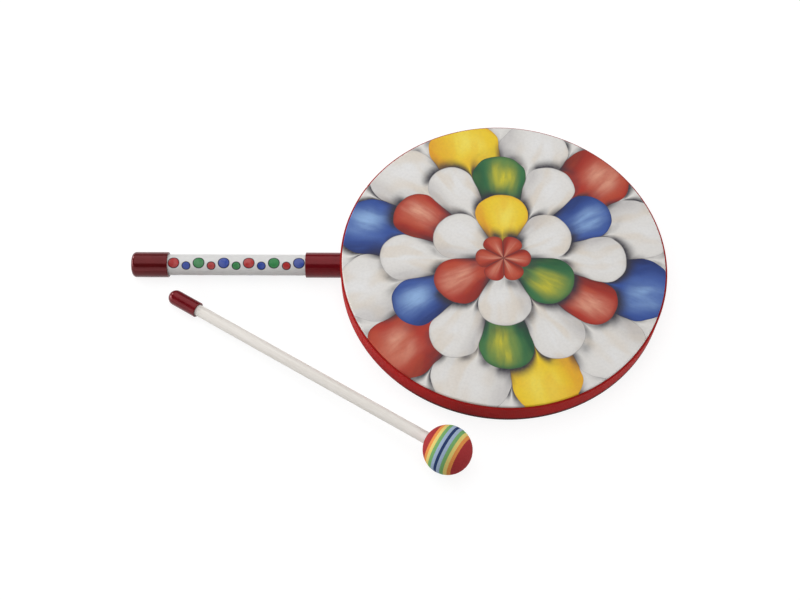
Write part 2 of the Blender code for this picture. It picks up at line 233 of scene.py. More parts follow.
# Painted shade: a dark band low on the tape with a wandering, soft top, deepest on one side
LOW_SHADE = srgb(54, 8, 10)
LOW_SHADE_HEIGHT = 0.0038
LOW_SHADE_WANDER = 0.0008
LOW_SHADE_SOFT = Fade(-0.0018, 0.0018)
SHADED_SIDE = math.radians(-60)
SHADED_SIDE_STRETCH = Fade(0.15, 0.6)
# Painted shade: the tape's top edge is a duller red
TOP_EDGE_SHADE = srgb(160, 33, 31)
TOP_EDGE_SHADE_WIDTH = 0.0003
TOP_EDGE_SHADE_CORE = 0.0001

# Vinyl of the caps and the ferrule
VINYL_RED = (srgb(95, 9, 17), srgb(106, 11, 20))
VINYL_MAROON = (srgb(79, 11, 14), srgb(90, 14, 17))
VINYL_GLOSS_TINT = (1.0, 0.36, 0.38, 1.0)
VINYL_WAVE_SIZE = 0.012
VINYL_WAVE_DEPTH = 0.00010
VINYL_TONES = Fade(0.7, 0.3)
PEEL_SIZE = 0.0015
PEEL_DEPTH = 0.000004
VINYL_ROUGHNESS = Fade(0.25, 0.75, 0.17, 0.23)

# Print on the handle: rows of dots on white film
DOT_ROWS = 3
DOT_COUNT = 11
DOT_RADIUS = 0.0041
DOT_SMALLER = 0.0011
DOT_ZIGZAG = 0.0012
DOT_FIRST_ROW = math.radians(-27)
DOT_COLOURS = (srgb(48, 74, 160), srgb(176, 44, 44), srgb(52, 132, 74))
DOT_EDGE = Fade(-0.0006, -0.0004)
DOT_LINE_EDGE = Fade(0.0003, 0.0)
DOT_LINE = srgb(30, 28, 44)
SLEEVE_WHITE = srgb(222, 221, 220)
SLEEVE_GREY = srgb(204, 203, 200)
SLEEVE_GREYING = Fade(0.3, 0.7, 0.0, 0.25)
INK_WORN = srgb(230, 228, 226)
INK_WEAR = Fade(0.35, 0.65, 0.0, 0.08)
SLEEVE_FADE_SIZE = 0.006
SLEEVE_DEPTH = 0.00001
SLEEVE_ROUGHNESS = Fade(0.2, 0.8, 0.28, 0.42)

# Wood, under paint on the mallet and bare in the handle
PAINTED_WOOD = Wood((srgb(227, 221, 213), srgb(237, 232, 226)), 0.0016, 0.42, 0.00001)
BARE_BIRCH = Wood((srgb(188, 150, 104), srgb(214, 184, 140)), 0.0025, 0.55, 0.00006)
GRAIN_STRETCH = (1.0, 1.0, 0.03)
PORE_STRETCH = (1.0, 1.0, 0.08)
PORE_SIZE_SHARE = 0.25
PORE_SHARE = 0.35
PORE_ROUGHER = 0.08
PORE_SMOOTHER = 0.06
PORE_SPAN = (0.3, 0.7)
WOOD_TONES = Fade(0.36, 0.62)

# Fibre board of the shell
FIBRE_BROWN = (srgb(84, 60, 44), srgb(122, 90, 66))
FIBRE_TONES = Fade(0.25, 0.7)
LAYER_PITCH = 0.0008
LAYER_WAVE = 0.0016
LAYER_WAVE_SIZE = 0.02
LAYER_SHARE = 0.35
FLECK_SIZE = 0.0022
FLECK_STRETCH = (1.0, 1.0, 3.0)
FIBRE_DEPTH = 0.00008
FIBRE_ROUGHNESS = Fade(0.3, 0.7, 0.66, 0.82)
FIBRE_NAP_SIZE = 0.0005
FIBRE_NAP_DEPTH = 0.00004

# Steel of the screw and the washer
STEEL = srgb(196, 196, 200)
STEEL_DULL = srgb(168, 166, 160)
STEEL_SPOTS = Fade(0.35, 0.7)
SPOT_SIZE = 0.0018
TURNED_SIZE = 0.0012
TURNED_STRETCH = (1.0, 1.0, 14.0)
TURNED_DEPTH = 0.00001
STEEL_ROUGHNESS = Fade(0.3, 0.7, 0.24, 0.40)

# Foam of the ball
FOAM = {
    "red": (srgb(150, 43, 47), srgb(168, 55, 57)),
    "orange": (srgb(213, 127, 62), srgb(230, 148, 80)),
    "yellow": (srgb(216, 193, 104), srgb(228, 207, 121)),
    "green": (srgb(108, 159, 96), srgb(123, 174, 109)),
    "sky": (srgb(148, 166, 193), srgb(163, 182, 207)),
    "navy": (srgb(38, 54, 95), srgb(45, 63, 106)),
}
FOAM_TONES = Fade(0.25, 0.75)
CELL_SIZE = 0.0005
CELL_WALLS = Fade(0.15, 0.5)
CELL_SHARE = 0.5
MOTTLE_SIZE = 0.0016
PIT_DEPTH = 0.00005
FOAM_ROUGHNESS = Fade(0.3, 0.7, 0.78, 0.92)

# Studio. The floor's glow grows with the distance from the object
FLOOR_RADIUS = 10.0
COVE_RADIUS = 2.4
FLOOR_BOUNCE = srgb(190, 190, 189)
FLOOR_SHOWN = (0.22, 0.22, 0.22, 1.0)
FLOOR_GLOW = Fade(0.45, 1.3, 0.85, 1.0)
WHITE = (1.0, 1.0, 1.0, 1.0)
WORLD_STRENGTH = 0.07
LAMPS = (
    Lamp("softbox_above", (-0.08, 0.445, 1.315), 1.7, 2.2, math.radians(-16), 18.8),
    Lamp("softbox_left", (-1.45, 0.10, 0.28), 0.9, 0.45, 0.0, 9.0),
    Lamp("softbox_right", (1.50, -0.25, 0.28), 0.9, 0.45, 0.0, 9.5),
    Lamp("card_in_front", (-0.80, -0.95, 0.45), 1.5, 0.7, 0.0, 4.6),
    Lamp("small_lamp", (-1.21, 0.97, 0.54), 0.32, 0.32, 0.0, 5.5),
)


def middle_of(node):
    """Middle of the different points of a CAD node, which is on its axis."""
    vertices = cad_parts[node].data.vertices
    points = {tuple(round(part, POINT_DIGITS) for part in vertex.co) for vertex in vertices}
    return sum((Vector(point) for point in points), Vector()) / len(points)


def axis_at(place, along, up):
    """Matrix with its Z along a direction and its X as near to up as that allows."""
    z = along.normalized()
    x = (up - z * up.dot(z)).normalized()
    y = z.cross(x)
    return Matrix.Translation(place) @ Matrix((x, y, z)).transposed().to_4x4()


def extent(node, axis):
    """Extent of a CAD node on an axis."""
    inverse = axis.inverted()
    points = [inverse @ vertex.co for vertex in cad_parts[node].data.vertices]
    radii = [math.hypot(point.x, point.y) for point in points]
    heights = [point.z for point in points]
    return Extent(min(heights), max(heights), min(radii), max(radii))


# Axes, from the frame
UP = Vector((0, 0, 1))
TAPE_LOW, TAPE_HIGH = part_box("rim_tape")
CAP_LOW, CAP_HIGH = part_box("handle_end_cap")
DRUM_RADIUS = (TAPE_HIGH.x - TAPE_LOW.x) / 2
DRUM_MIDDLE = Vector(((TAPE_LOW.x + TAPE_HIGH.x) / 2, (TAPE_LOW.y + TAPE_HIGH.y) / 2, 0.0))
HANDLE_START = Vector((TAPE_LOW.x, DRUM_MIDDLE.y, (CAP_LOW.z + CAP_HIGH.z) / 2))
BALL_MIDDLE = middle_of("ball_navy_core")
DRUM_AXIS = Matrix.Translation(DRUM_MIDDLE)
HANDLE_AXIS = axis_at(HANDLE_START, Vector((-1, 0, 0)), UP)
MALLET_AXIS = axis_at(BALL_MIDDLE, middle_of("mallet_shaft") - BALL_MIDDLE, UP)


class Graph:
    """One material, built node by node. A value that feeds a socket is a number, a colour or
    another node's output."""

    PICK_NUDGE = 0.01

    def __init__(self, name, specular=0.5, gloss_tint=WHITE):
        self.material = bpy.data.materials.new(name)
        self.material.use_nodes = True
        self.tree = self.material.node_tree
        self.shader = self.tree.nodes["Principled BSDF"]
        self.shader.inputs["Specular IOR Level"].default_value = specular
        self.shader.inputs["Specular Tint"].default_value = gloss_tint

    def feed(self, socket, value):
        if isinstance(value, bpy.types.NodeSocket):
            self.tree.links.new(value, socket)
        else:
            socket.default_value = value

    def add(self, kind, inputs=None, **settings):
        """A node with its settings, and with its inputs fed by name or by number."""
        made = self.tree.nodes.new(kind)
        for name, value in settings.items():
            setattr(made, name, value)
        for key, value in (inputs or {}).items():
            self.feed(made.inputs[key], value)
        return made

    def math(self, operation, *values):
        return self.add("ShaderNodeMath", dict(enumerate(values)), operation=operation).outputs[0]

    def product(self, first, *others):
        for other in others:
            first = self.math("MULTIPLY", first, other)
        return first

    def blend(self, first, second, share):
        """A value between two others, with that share of the first."""
        return self.math("MULTIPLY_ADD", first, share, self.math("MULTIPLY", second, 1 - share))

    def radius(self, x, y):
        squares = self.math("ADD", self.math("POWER", x, 2.0), self.math("POWER", y, 2.0))
        return self.math("SQRT", squares)

    def ease(self, value, fade):
        """What a fade makes of a value."""
        sockets = ("From Min", "From Max", "To Min", "To Max")
        inputs = {"Value": value, **dict(zip(sockets, fade))}
        return self.add("ShaderNodeMapRange", inputs, interpolation_type="SMOOTHSTEP").outputs[0]

    def mix(self, share, first, second):
        """A colour between two others. For colours this node has inputs 6 and 7 and output 2."""
        return self.add("ShaderNodeMix", {0: share, 6: first, 7: second}, data_type="RGBA").outputs[2]

    def pick(self, number, colours):
        """One of several colours, by turns as a whole number goes up. The nudge keeps the share
        off the line between two colours."""
        share = self.math("FRACT", self.math("MULTIPLY_ADD", number, 1 / len(colours), self.PICK_NUDGE))
        made = self.add("ShaderNodeValToRGB", {"Fac": share})
        made.color_ramp.interpolation = "CONSTANT"
        stops = made.color_ramp.elements
        while len(stops) < len(colours):
            stops.new(1.0)
        while len(stops) > len(colours):
            stops.remove(stops[-1])
        for i, colour in enumerate(colours):
            stops[i].position = i / len(colours)
            stops[i].color = colour
        return made.outputs[0]

    def place(self, axis=None):
        """The piece's own coordinates, whole and as x, y and z, turned to an axis if there is one."""
        whole = self.add("ShaderNodeTexCoord").outputs["Object"]
        if axis is None:
            return (whole, *self.add("ShaderNodeSeparateXYZ", {"Vector": whole}).outputs)
        parts = []
        for column in axis.to_3x3().transposed():
            made = self.add("ShaderNodeVectorMath", {0: whole, 1: column}, operation="DOT_PRODUCT")
            parts.append(made.outputs["Value"])
        return (self.joined(*parts), *parts)

    def joined(self, x, y, z):
        return self.add("ShaderNodeCombineXYZ", {"X": x, "Y": y, "Z": z}).outputs[0]

    def scaled(self, vector, factors):
        return self.add("ShaderNodeVectorMath", {0: vector, 1: factors}, operation="MULTIPLY").outputs[0]

    def cloud(self, vector, size, detail=2.0):
        """Noise around 0.5, with marks of about a size."""
        inputs = {"Vector": vector, "Scale": 1 / size, "Detail": detail}
        return self.add("ShaderNodeTexNoise", inputs).outputs["Fac"]

    def swing(self, vector, size, reach):
        """Noise around 0, as far as a reach to either side."""
        return self.math("MULTIPLY_ADD", self.cloud(vector, size), 2 * reach, -reach)

    def cells(self, vector, size):
        """Distance to the nearest cell's middle, in shares of a cell."""
        inputs = {"Vector": vector, "Scale": 1 / size}
        return self.add("ShaderNodeTexVoronoi", inputs).outputs["Distance"]

    def colour(self, value):
        self.feed(self.shader.inputs["Base Color"], value)

    def roughness(self, value):
        self.feed(self.shader.inputs["Roughness"], value)

    def relief(self, *layers):
        """Bumps, each a height from 0 to 1 and its depth in metres."""
        normal = None
        for height, depth in layers:
            made = self.add("ShaderNodeBump", {"Height": height, "Strength": 1.0, "Distance": depth})
            if normal is not None:
                self.feed(made.inputs["Normal"], normal)
            normal = made.outputs[0]
        self.feed(self.shader.inputs["Normal"], normal)


def petal_fields(graph, ring, turn, radius):
    """Where a point is on a ring of petals: the petal's number, the place across it from -1 to 1,
    and the distances to its tip and to its side."""
    along = graph.math("MULTIPLY_ADD", turn, ring.count, ring.shift)
    number = graph.math("FLOOR", along)
    across = graph.math("MULTIPLY_ADD", graph.math("SUBTRACT", along, number), 2.0, -1.0)
    side = graph.math("ABSOLUTE", across)
    bulge = graph.math("SQRT", graph.math("SUBTRACT", 1.0, graph.math("POWER", side, 2.0)))
    tip = graph.math("MULTIPLY_ADD", bulge, ring.drop, ring.tip - ring.drop)
    to_tip = graph.math("SUBTRACT", tip, radius)
    half_width = graph.math("MULTIPLY", radius, math.pi / ring.count)
    to_side = graph.product(graph.math("SUBTRACT", 1.0, side), half_width)
    return number, across, to_tip, to_side


def petal_paint(graph, ring, fields, radius):
    """Painted petals: a broad light patch, a dark far side, brush strokes along the petal and a
    fine line round it."""
    number, across, to_tip, to_side = fields
    shades = zip(*(PRINT[name] for name in ring.order))
    body, glow, deep, warm = (graph.pick(number, row) for row in shades)
    strokes = graph.joined(
        graph.math("MULTIPLY", across, STROKES_ACROSS),
        graph.math("MULTIPLY", radius, STROKES_ALONG),
        graph.math("MULTIPLY", number, STROKES_APART),
    )
    brush = graph.cloud(strokes, 1.0, detail=5.0)
    patch = graph.cloud(graph.scaled(strokes, PATCH_STRETCH), 1.0, detail=1.0)
    off_middle = graph.math("ABSOLUTE", graph.math("ADD", across, LIGHT_ASIDE))
    off_patch = graph.math("ABSOLUTE", graph.math("SUBTRACT", to_tip, LIGHT_FROM_TIP))
    light = graph.product(
        graph.ease(off_middle, LIGHT_ACROSS),
        graph.ease(off_patch, LIGHT_ALONG),
        graph.ease(brush, BRUSH_ON_LIGHT),
        graph.ease(patch, PATCH_ON_LIGHT),
    )
    tint = graph.mix(graph.ease(patch, PATCH_TINT), body, warm)
    paint = graph.mix(light, tint, glow)
    edge = graph.math("MINIMUM", to_tip, to_side)
    dark = graph.math("MAXIMUM", graph.ease(across, DARK_FAR_SIDE), graph.ease(edge, DARK_EDGE))
    dark = graph.product(dark, graph.ease(brush, BRUSH_ON_DARK), DARK_SHARE)
    paint = graph.mix(dark, paint, deep)
    return graph.mix(graph.ease(edge, PETAL_LINE), paint, PRINT_LINE)


def head_print(graph, whole, x, y):
    """Colour of the print, from the rim inwards. Each ring lies over the one outside it and leaves
    smudged shade there, darkest in the notches between that one's petals."""
    radius = graph.math("ADD", graph.radius(x, y), graph.swing(whole, WOBBLE_SIZE, WOBBLE_REACH))
    turn = graph.math("DIVIDE", graph.math("ARCTAN2", y, x), math.tau)
    # Mirrored, so that the sway's noise isn't the wobble's
    sway = graph.swing(graph.scaled(whole, SWAY_MIRROR), SWAY_SIZE, SWAY_TURNS)
    turn = graph.math("ADD", turn, sway)
    chalk = graph.cloud(whole, CHALK_SIZE, detail=5.0)
    smudge = graph.ease(graph.cloud(whole, SMUDGE_SIZE), SMUDGE_PATCHES)
    smudge = graph.product(smudge, graph.ease(chalk, CHALK_IN_SHADE))
    paint = PRINT_GROUND
    # No petals lie under the first ring, so none of their sides is near
    under_side = DRUM_RADIUS
    for ring in HEAD_RINGS:
        fields = petal_fields(graph, ring, turn, radius)
        to_tip, to_side = fields[2:]
        near = graph.product(graph.math("POWER", graph.ease(to_tip, SHADE_REACH), SHADE_FALL), smudge)
        notch = graph.product(
            graph.ease(to_tip, NOTCH_REACH),
            graph.ease(under_side, NOTCH_WIDTH),
            NOTCH_SHARE,
        )
        paint = graph.mix(graph.math("MAXIMUM", near, notch), paint, PRINT_SHADE)
        petals = petal_paint(graph, ring, fields, radius)
        paint = graph.mix(graph.ease(to_tip, PETAL_EDGE), paint, petals)
        under_side = to_side
    return graph.mix(graph.ease(chalk, CHALK_ON_PAINT), paint, PRINT_SHADE)


def head_film():
    """Printed polyester film with a fine coat. The print shows faintly on its underside."""
    graph = Graph("head_film", specular=0.18)
    whole, x, y, z = graph.place()
    size = extent("drumhead", DRUM_AXIS)
    middle = size.high - FILM_THICKNESS / 2
    underside = Fade(middle + FILM_FACE_SOFT, middle - FILM_FACE_SOFT, 0.0, UNPRINTED_SHARE)
    flat = graph.math("LESS_THAN", graph.radius(x, y), size.outer - FILM_ROLL)
    behind = graph.product(graph.ease(z, underside), flat)
    graph.colour(graph.mix(behind, head_print(graph, whole, x, y), UNPRINTED_FILM))
    coat = graph.cloud(whole, COAT_SIZE, detail=3.0)
    graph.roughness(graph.ease(coat, COAT_ROUGHNESS))
    graph.relief((coat, COAT_DEPTH))
    return graph.material


def red_tape():
    """Woven tape: ribs across it and finer threads along it. Painted shade darkens the gaps of the
    weave, a band low on the tape that is deepest on one side, and the top edge.
    """
    graph = Graph("red_tape", specular=0.1, gloss_tint=TAPE_GLOSS_TINT)
    whole, x, y, z = graph.place()
    angle = graph.math("ARCTAN2", y, x)
    round_rim = graph.math("MULTIPLY", angle, DRUM_RADIUS * math.pi / TAPE_RIB)
    across = graph.math("MULTIPLY", z, math.tau / TAPE_RIB)
    weft = graph.math("ABSOLUTE", graph.math("SINE", round_rim))
    warp = graph.math("ABSOLUTE", graph.math("SINE", across))
    weave = graph.math("MAXIMUM", weft, graph.math("MULTIPLY", warp, WARP_SHARE))
    fade = graph.cloud(whole, TAPE_FADE_SIZE, detail=4.0)
    # Random fade, with painted shade in the gaps between the threads
    fade_and_gap_shade = graph.blend(graph.ease(fade, TAPE_FADE), weave, TAPE_FADE_SHARE)
    # Painted shade low on the tape, deepest on one side
    low_shade_edge = graph.math("MULTIPLY_ADD", fade, LOW_SHADE_WANDER, LOW_SHADE_HEIGHT)
    low_shade = graph.ease(graph.math("SUBTRACT", low_shade_edge, z), LOW_SHADE_SOFT)
    to_shaded_side = graph.math("COSINE", graph.math("SUBTRACT", angle, SHADED_SIDE))
    low_shade = graph.product(low_shade, graph.ease(to_shaded_side, SHADED_SIDE_STRETCH))
    top = extent("rim_tape", DRUM_AXIS).high
    # Painted shade along the tape's top edge
    top_edge_shade = graph.ease(z, Fade(top - TOP_EDGE_SHADE_WIDTH, top - TOP_EDGE_SHADE_CORE))
    red = graph.mix(low_shade, graph.mix(fade_and_gap_shade, *TAPE_RED), LOW_SHADE)
    graph.colour(graph.mix(top_edge_shade, red, TOP_EDGE_SHADE))
    graph.roughness(graph.ease(weave, WEAVE_ROUGHNESS))
    graph.relief((weave, WEAVE_DEPTH), (graph.cloud(whole, FUZZ_SIZE), FUZZ_DEPTH))
    return graph.material


def vinyl(name, tones):
    """Dip-moulded vinyl: deep red, glossy, with a slow wave and a fine orange peel."""
    graph = Graph(name, specular=0.58, gloss_tint=VINYL_GLOSS_TINT)
    whole, *_ = graph.place()
    wave = graph.cloud(whole, VINYL_WAVE_SIZE)
    peel = graph.cloud(whole, PEEL_SIZE)
    graph.colour(graph.mix(graph.ease(wave, VINYL_TONES), *tones))
    graph.roughness(graph.ease(peel, VINYL_ROUGHNESS))
    graph.relief((wave, VINYL_WAVE_DEPTH), (peel, PEEL_DEPTH))
    return graph.material


def handle_dots(graph, x, y, z):
    """Rows of dots round the handle, larger and smaller by turns, in a slight zigzag: how much of
    a dot, how much of its outline, and the dot's colour."""
    start = extent("handle_ferrule", HANDLE_AXIS).high
    end = extent("handle_end_cap", HANDLE_AXIS).low
    pitch = (end - start) / DOT_COUNT
    row_arc = math.tau / DOT_ROWS
    row_width = row_arc * extent("handle_sleeve", HANDLE_AXIS).outer
    along = graph.math("DIVIDE", graph.math("SUBTRACT", z, start), pitch)
    number = graph.math("FLOOR", along)
    off_along = graph.math("SUBTRACT", graph.math("FRACT", along), 0.5)
    off_along = graph.math("MULTIPLY", off_along, pitch)
    angle = graph.math("SUBTRACT", graph.math("ARCTAN2", y, x), DOT_FIRST_ROW)
    row = graph.math("MULTIPLY_ADD", angle, 1 / row_arc, 0.5 + DOT_ROWS)
    off_row = graph.math("SUBTRACT", graph.math("FRACT", row), 0.5)
    odd = graph.math("FLOORED_MODULO", number, 2.0)
    zigzag = graph.math("MULTIPLY_ADD", odd, 2 * DOT_ZIGZAG, -DOT_ZIGZAG)
    off_across = graph.math("MULTIPLY_ADD", off_row, row_width, zigzag)
    size = graph.math("MULTIPLY_ADD", odd, -DOT_SMALLER, DOT_RADIUS)
    inside = graph.math("SUBTRACT", size, graph.radius(off_along, off_across))
    colour = graph.pick(graph.math("ADD", number, graph.math("FLOOR", row)), DOT_COLOURS)
    return graph.ease(inside, DOT_EDGE), graph.ease(inside, DOT_LINE_EDGE), colour


def printed_film():
    """Glossy white film on the handle, printed with dots."""
    graph = Graph("printed_film", specular=0.2)
    whole, x, y, z = graph.place(HANDLE_AXIS)
    dot, outline, colour = handle_dots(graph, x, y, z)
    fade = graph.cloud(whole, SLEEVE_FADE_SIZE, detail=3.0)
    white = graph.mix(graph.ease(fade, SLEEVE_GREYING), SLEEVE_WHITE, SLEEVE_GREY)
    ink = graph.mix(graph.ease(fade, INK_WEAR), colour, INK_WORN)
    ink = graph.mix(outline, ink, DOT_LINE)
    graph.colour(graph.mix(dot, white, ink))
    graph.roughness(graph.ease(fade, SLEEVE_ROUGHNESS))
    graph.relief((fade, SLEEVE_DEPTH))
    return graph.material


def wood(name, axis, kind):
    """Wood with its grain along the axis, bare or under paint."""
    graph = Graph(name, specular=0.35)
    whole, *_ = graph.place(axis)
    grain = graph.cloud(graph.scaled(whole, GRAIN_STRETCH), kind.ring_size, detail=4.0)
    pores = graph.cloud(graph.scaled(whole, PORE_STRETCH), kind.ring_size * PORE_SIZE_SHARE)
    streaks = graph.blend(pores, grain, PORE_SHARE)
    graph.colour(graph.mix(graph.ease(streaks, WOOD_TONES), *kind.tones))
    roughness = Fade(*PORE_SPAN, kind.roughness + PORE_ROUGHER, kind.roughness - PORE_SMOOTHER)
    graph.roughness(graph.ease(pores, roughness))
    graph.relief((streaks, kind.depth))
    return graph.material


def fibre_board():
    """Wound fibre board: thin layers round the drum, with flecks."""
    graph = Graph("fibre_board", specular=0.3)
    whole, x, y, _ = graph.place()
    wave = graph.cloud(whole, LAYER_WAVE_SIZE)
    depth = graph.math("MULTIPLY_ADD", wave, LAYER_WAVE, graph.radius(x, y))
    layer = graph.math("SINE", graph.math("MULTIPLY", depth, math.tau / LAYER_PITCH))
    layers = graph.math("MULTIPLY_ADD", layer, 0.5, 0.5)
    fleck = graph.cloud(graph.scaled(whole, FLECK_STRETCH), FLECK_SIZE, detail=5.0)
    tone = graph.blend(layers, fleck, LAYER_SHARE)
    graph.colour(graph.mix(graph.ease(tone, FIBRE_TONES), *FIBRE_BROWN))
    graph.roughness(graph.ease(fleck, FIBRE_ROUGHNESS))
    graph.relief((tone, FIBRE_DEPTH), (graph.cloud(whole, FIBRE_NAP_SIZE), FIBRE_NAP_DEPTH))
    return graph.material


def steel():
    """Zinc-plated steel with a turned grain and small spots."""
    graph = Graph("steel")
    graph.shader.inputs["Metallic"].default_value = 1.0
    whole, *_ = graph.place()
    spots = graph.cloud(whole, SPOT_SIZE, detail=4.0)
    grain = graph.cloud(graph.scaled(whole, TURNED_STRETCH), TURNED_SIZE)
    graph.colour(graph.mix(graph.ease(spots, STEEL_SPOTS), STEEL, STEEL_DULL))
    graph.roughness(graph.ease(grain, STEEL_ROUGHNESS))
    graph.relief((grain, TURNED_DEPTH))
    return graph.material


def foam(colour):
    """Closed-cell foam with a ground skin: cut cells and a mottled colour."""
    graph = Graph(f"foam_{colour}", specular=0.12)
    whole, *_ = graph.place()
    mottle = graph.cloud(whole, MOTTLE_SIZE, detail=4.0)
    pits = graph.blend(graph.ease(graph.cells(whole, CELL_SIZE), CELL_WALLS), mottle, CELL_SHARE)
    graph.colour(graph.mix(graph.ease(pits, FOAM_TONES), *FOAM[colour]))
    graph.roughness(graph.ease(mottle, FOAM_ROUGHNESS))
    graph.relief((pits, PIT_DEPTH))
    return graph.material


def arc(middle, radius, start, end):
    """Points of a profile on a circle, from one angle to another."""
    count = max(2, math.ceil(abs(end - start) / ARC_STEP))
    angles = [start + (end - start) * i / count for i in range(count + 1)]
    return [(middle[0] + radius * math.cos(a), middle[1] + radius * math.sin(a)) for a in angles]


def rounded(corners):
    """A profile from corners (r, z, radius), each one rounded where its radius isn't 0, with a
    guard point just before and after, so that the flat beside it is shaded flat."""
    profile = []
    for i, (r, z, radius) in enumerate(corners):
        here = Vector((r, z))
        if radius == 0:
            profile.append(here)
            continue
        back = (Vector(corners[i - 1][:2]) - here).normalized()
        onward = (Vector(corners[(i + 1) % len(corners)][:2]) - here).normalized()
        half = back.angle(onward) / 2
        reach = radius / math.tan(half)
        guard = reach + radius * GUARD_SHARE
        middle = here + (back + onward).normalized() * (radius / math.sin(half))
        first = here + back * reach - middle
        last = here + onward * reach - middle
        start = math.atan2(first.y, first.x)
        sweep = (math.atan2(last.y, last.x) - start + math.pi) % math.tau - math.pi
        profile.append(here + back * guard)
        profile.extend(Vector(point) for point in arc(middle, radius, start, start + sweep))
        profile.append(here + onward * guard)
    return [tuple(point) for point in profile]


def filled(profile, longest):
    """The same profile with points added, so that no stretch is longer than that."""
    result = [profile[0]]
    for first, second in zip(profile, profile[1:]):
        count = max(1, math.ceil(math.dist(first, second) / longest))
        for i in range(1, count + 1):
            share = i / count
            result.append(tuple(a + (b - a) * share for a, b in zip(first, second)))
    return result


def angles_round(steps, seam=None, width=0.0):
    """Even angles round an axis, with closer ones beside a seam."""
    angles = [math.tau * i / steps for i in range(steps)]
    if seam is not None:
        angles.extend(seam + width * i / SEAM_STEPS for i in range(-SEAM_STEPS, SEAM_STEPS + 1))
    return sorted({round(angle, ANGLE_DIGITS) for angle in angles})


def skin(shape, first, second):
    """Faces between two rings of points, either of which may be one point."""
    count = max(len(first), len(second))
    for i in range(count):
        here = (first[i % len(first)], second[i % len(second)])
        onward = (first[(i + 1) % len(first)], second[(i + 1) % len(second)])
        shape.faces.new(dict.fromkeys((here[0], onward[0], onward[1], here[1])))


def face_outwards(shape):
    """Turns the faces of a mesh outwards."""
    bmesh.ops.recalc_face_normals(shape, faces=shape.faces)
    if shape.calc_volume(signed=True) < 0:
        bmesh.ops.reverse_faces(shape, faces=shape.faces)


def turned(profile, angles, warp=None):
    """A mesh turned from a profile of (r, z). A profile that starts off the axis is closed from its
    end to its start. The warp moves a point, from (r, z, angle) to (r, z)."""
    shape = bmesh.new()
    rings = []
    for r, z in profile:
        ring = []
        for angle in angles if r > 0 else angles[:1]:
            at_r, at_z = warp(r, z, angle) if warp and r > 0 else (r, z)
            ring.append(shape.verts.new((at_r * math.cos(angle), at_r * math.sin(angle), at_z)))
        rings.append(ring)
    if profile[0][0] > 0:
        rings.append(rings[0])
    for first, second in zip(rings, rings[1:]):
        skin(shape, first, second)
    face_outwards(shape)
    return shape


def piece(name, shape, axis, material):
    """An object from a mesh on an axis, shaded smooth but for its sharp edges. It sits where the
    axis starts, and isn't turned itself."""
    mesh = bpy.data.meshes.new(name)
    shape.to_mesh(mesh)
    shape.free()
    mesh.transform(axis.to_3x3().to_4x4())
    mesh.shade_smooth()
    mesh.set_sharp_from_angle(angle=SHARP_ANGLE)
    mesh.materials.append(material)
    made = bpy.data.objects.new(name, mesh)
    bpy.context.scene.collection.objects.link(made)
    made.matrix_world = Matrix.Translation(axis.translation)
    return made


def cut_out(target, cutter):
    """Takes a helper's shape out of a piece, and removes the helper."""
    hole = target.modifiers.new("cut", "BOOLEAN")
    hole.object = cutter
    bpy.context.view_layer.update()
    evaluated = target.evaluated_get(bpy.context.evaluated_depsgraph_get())
    mesh = bpy.data.meshes.new_from_object(evaluated)
    mesh.set_sharp_from_angle(angle=SHARP_ANGLE)
    target.modifiers.clear()
    target.data = mesh
    bpy.data.objects.remove(cutter)


def drill(made, node):
    """Cuts the hole that the handle's screw needs through a piece, as wide as in the CAD node. The
    cutter's corners keep off the lines of the piece's mesh."""
    screw = extent("handle_screw", HANDLE_AXIS)
    radius = extent(node, HANDLE_AXIS).inner
    rod = [(0.0, screw.high), (radius, screw.high), (radius, screw.low), (0.0, screw.low)]
    angles = [angle + math.pi / SCREW_STEPS for angle in angles_round(SCREW_STEPS)]
    cut_out(made, piece("drill", turned(rod, angles), HANDLE_AXIS, made.data.materials[0]))


def stands_for(made, node, body):
    """A piece takes a CAD node's place on a body."""
    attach(made, body)
    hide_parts(node)


def groove(angle, seam, width, depth, radius):
    """Depth of a narrow groove at a seam, at an angle round a circle."""
    away = abs((angle - seam + math.pi) % math.tau - math.pi) * radius
    return depth * math.sqrt(max(0.0, 1.0 - away / width))


def ripple(r, z, angle, size):
    """Smooth unevenness of a surface, from -1 to 1."""
    return noise.noise(Vector((r * math.cos(angle), r * math.sin(angle), z)) / size)


def make_film():
    """Film head: flat, rolled over the bearing edge and turned down behind the tape."""
    size = extent("drumhead", DRUM_AXIS)
    inner = size.outer - FILM_THICKNESS
    underside = size.high - FILM_THICKNESS
    corners = [
        (0.0, size.high, 0),
        (size.outer, size.high, FILM_ROLL),
        (size.outer, size.low, 0),
        (inner, size.low, 0),
        (inner, underside, FILM_ROLL - FILM_THICKNESS),
        (0.0, underside, 0),
    ]
    shape = turned(filled(rounded(corners), FILM_STRETCH), angles_round(DRUM_STEPS))
    made = piece("head_film", shape, DRUM_AXIS, head_film())
    stands_for(made, "drumhead", "drum")


def make_tape():
    """Woven tape round the rim, with rounded edges, a butt seam and the screw's hole."""
    size = extent("rim_tape", DRUM_AXIS)
    inner = extent("drumhead", DRUM_AXIS).outer + TAPE_TO_FILM
    middle = (inner + size.outer) / 2
    corners = [
        (inner, size.high, 0),
        (inner, size.low, 0),
        (size.outer, size.low, TAPE_LOW_EDGE),
        (size.outer, size.high, TAPE_HIGH_EDGE),
    ]

    def seam(r, z, angle):
        if r < middle:
            return r, z
        return r - groove(angle, TAPE_SEAM_ANGLE, TAPE_SEAM_WIDTH, TAPE_SEAM_DEPTH, r), z

    angles = angles_round(DRUM_STEPS, TAPE_SEAM_ANGLE, TAPE_SEAM_WIDTH / DRUM_RADIUS)
    shape = turned(filled(rounded(corners), RIM_STRETCH), angles, seam)
    made = piece("rim_wrap", shape, DRUM_AXIS, red_tape())
    drill(made, "rim_tape")
    stands_for(made, "rim_tape", "drum")


